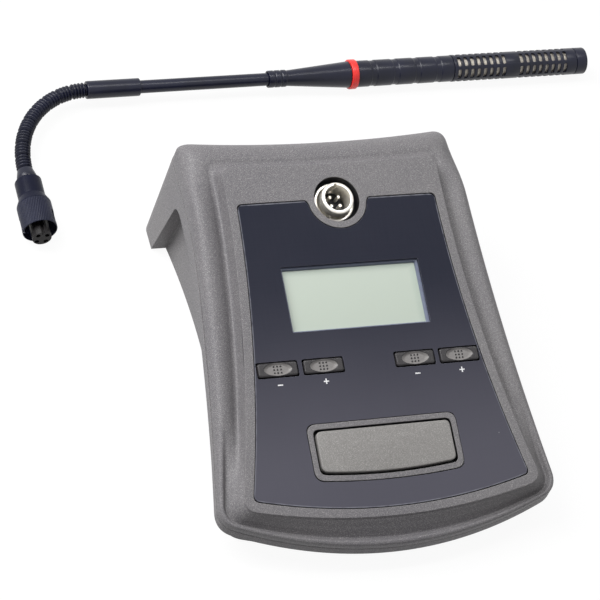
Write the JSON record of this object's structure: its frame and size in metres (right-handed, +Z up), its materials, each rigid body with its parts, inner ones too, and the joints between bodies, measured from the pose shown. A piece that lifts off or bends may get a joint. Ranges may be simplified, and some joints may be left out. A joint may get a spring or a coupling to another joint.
{
  "type": "wireless podium microphone",
  "caption": "Sloping desk unit with display, talk key and small keys, and a detached gooseneck microphone whose ribbed neck bends and whose plug fits the unit's round socket.",
  "frame": {"origin": "centre of the footprint of the whole set, on the table", "axes": "+Z up; +X to the user's right, along the detached microphone's head; +Y away from the user"},
  "size_m": [0.3354, 0.297, 0.0742],
  "materials": {
    "grey_plastic": "dark grey satin plastic with a fine grain",
    "key_plastic": "dark grey satin plastic",
    "panel_sheet": "dark blue-grey satin sheet",
    "display_glass": "clear window over a pale green display",
    "board_green": "green circuit board",
    "nickel": "bright nickel plate",
    "tin": "tinned steel can",
    "black_plastic": "black plastic",
    "rubber": "black rubber",
    "steel": "plain steel",
    "battery_wrap": "blue shrink wrap",
    "black_metal": "black satin paint",
    "red_ring": "red light-guiding plastic",
    "mesh_metal": "fine wire mesh"
  },
  "bodies": {
    "desk_unit": {"top_cover": "grey_plastic", "lower_housing": "grey_plastic", "base_plate": "grey_plastic", "overlay_panel": "panel_sheet", "display_glass": "display_glass", "display_module": "black_plastic", "main_board": "board_green", "radio_module": "tin", "antenna": "black_plastic", "talk_switch": "black_plastic", "switch_set_minus": "black_plastic", "switch_set_plus": "black_plastic", "switch_volume_minus": "black_plastic", "switch_volume_plus": "black_plastic", "socket_shell": "nickel", "socket_nut": "nickel", "socket_insulator": "black_plastic", "socket_pin_rear_left": "nickel", "socket_pin_rear_right": "nickel", "socket_pin_front_left": "nickel", "socket_pin_front_right": "nickel", "battery_pack": "battery_wrap", "foot_front_left": "rubber", "foot_front_right": "rubber", "foot_rear_left": "rubber", "foot_rear_right": "rubber", "screw_front_left": "steel", "screw_front_right": "steel", "screw_rear_left": "steel", "screw_rear_right": "steel"},
    "talk_key": {"talk_key": "key_plastic"},
    "set_minus_key": {"key_set_minus": "key_plastic"},
    "set_plus_key": {"key_set_plus": "key_plastic"},
    "volume_minus_key": {"key_volume_minus": "key_plastic"},
    "volume_plus_key": {"key_volume_plus": "key_plastic"},
    "battery_door": {"battery_door": "grey_plastic"},
    "plug": {"plug_shell": "nickel", "plug_insert": "black_plastic", "neck_ferrule": "black_metal"},
    "plug_collar": {"plug_collar": "black_metal"},
    "neck_1": {"neck_link_1": "black_metal"},
    "neck_2": {"neck_link_2": "black_metal"},
    "neck_3": {"neck_link_3": "black_metal"},
    "neck_4": {"neck_link_4": "black_metal"},
    "neck_5": {"neck_link_5": "black_metal"},
    "neck_6": {"neck_link_6": "black_metal"},
    "neck_7": {"neck_link_7": "black_metal"},
    "neck_8": {"neck_link_8": "black_metal"},
    "neck_9": {"neck_link_9": "black_metal"},
    "head": {"stem_sleeve": "black_metal", "stem_tube": "black_metal", "head_taper": "black_metal", "light_ring": "red_ring", "head_body": "black_metal", "slotted_tube": "black_metal", "mesh_screen": "mesh_metal", "microphone_capsule": "mesh_metal", "end_cap": "black_metal"}
  },
  "joints": [
    {"name": "talk_press", "type": "slide", "parent": "desk_unit", "child": "talk_key", "axis": [0, 0.2756, -0.9613], "range_m": [0, 0.001], "stiffness_N_per_m": 1200, "springref_m": -0.0004},
    {"name": "set_minus_press", "type": "slide", "parent": "desk_unit", "child": "set_minus_key", "axis": [0, 0.2756, -0.9613], "range_m": [0, 0.0007], "stiffness_N_per_m": 1500, "springref_m": -0.0003},
    {"name": "set_plus_press", "type": "slide", "parent": "desk_unit", "child": "set_plus_key", "axis": [0, 0.2756, -0.9613], "range_m": [0, 0.0007], "stiffness_N_per_m": 1500, "springref_m": -0.0003},
    {"name": "volume_minus_press", "type": "slide", "parent": "desk_unit", "child": "volume_minus_key", "axis": [0, 0.2756, -0.9613], "range_m": [0, 0.0007], "stiffness_N_per_m": 1500, "springref_m": -0.0003},
    {"name": "volume_plus_press", "type": "slide", "parent": "desk_unit", "child": "volume_plus_key", "axis": [0, 0.2756, -0.9613], "range_m": [0, 0.0007], "stiffness_N_per_m": 1500, "springref_m": -0.0003},
    {"name": "battery_door_slide", "type": "slide", "parent": "desk_unit", "child": "battery_door", "axis": [0, -1, 0], "range_m": [0, 0.008]},
    {"name": "microphone_lift", "type": "slide", "parent": "desk_unit", "child": "plug", "axis": [0, 0, 1], "range_m": [0, 0.12]},
    {"name": "collar_spin", "type": "hinge", "parent": "plug", "child": "plug_collar", "pos_m": [-0.15913, 0.04869, 0.0086], "axis": [0, 1, 0], "continuous": true},
    {"name": "neck_turn_1", "type": "hinge", "parent": "plug", "child": "neck_1", "pos_m": [-0.15912, 0.08614, 0.0086], "axis": [0, 0, 1], "range_deg": [-1, 12.5]},
    {"name": "neck_lift_1", "type": "hinge", "parent": "neck_1", "child": "neck_2", "pos_m": [-0.15858, 0.09405, 0.0086], "axis": [0.9913, -0.1318, 0], "range_deg": [0, 11]},
    {"name": "neck_turn_2", "type": "hinge", "parent": "neck_2", "child": "neck_3", "pos_m": [-0.15701, 0.10182, 0.0086], "axis": [0, 0, 1], "range_deg": [-1, 12.5]},
    {"name": "neck_turn_3", "type": "hinge", "parent": "neck_3", "child": "neck_4", "pos_m": [-0.15435, 0.10929, 0.0086], "axis": [0, 0, 1], "range_deg": [-1, 12.5]},
    {"name": "neck_lift_2", "type": "hinge", "parent": "neck_4", "child": "neck_5", "pos_m": [-0.15059, 0.11626, 0.0086], "axis": [0.8388, -0.5444, 0], "range_deg": [0, 11]},
    {"name": "neck_turn_4", "type": "hinge", "parent": "neck_5", "child": "neck_6", "pos_m": [-0.14573, 0.12252, 0.0086], "axis": [0, 0, 1], "range_deg": [-1, 12.5]},
    {"name": "neck_turn_5", "type": "hinge", "parent": "neck_6", "child": "neck_7", "pos_m": [-0.13985, 0.12784, 0.0086], "axis": [0, 0, 1], "range_deg": [-1, 12.5]},
    {"name": "neck_lift_3", "type": "hinge", "parent": "neck_7", "child": "neck_8", "pos_m": [-0.13309, 0.13196, 0.0086], "axis": [0.4356, -0.9001, 0], "range_deg": [0, 11]},
    {"name": "neck_turn_6", "type": "hinge", "parent": "neck_8", "child": "neck_9", "pos_m": [-0.12565, 0.13468, 0.0086], "axis": [0, 0, 1], "range_deg": [-1, 12.5]},
    {"name": "neck_turn_7", "type": "hinge", "parent": "neck_9", "child": "head", "pos_m": [-0.11781, 0.13578, 0.0086], "axis": [0, 0, 1], "range_deg": [-1, 12.5]}
  ]
}
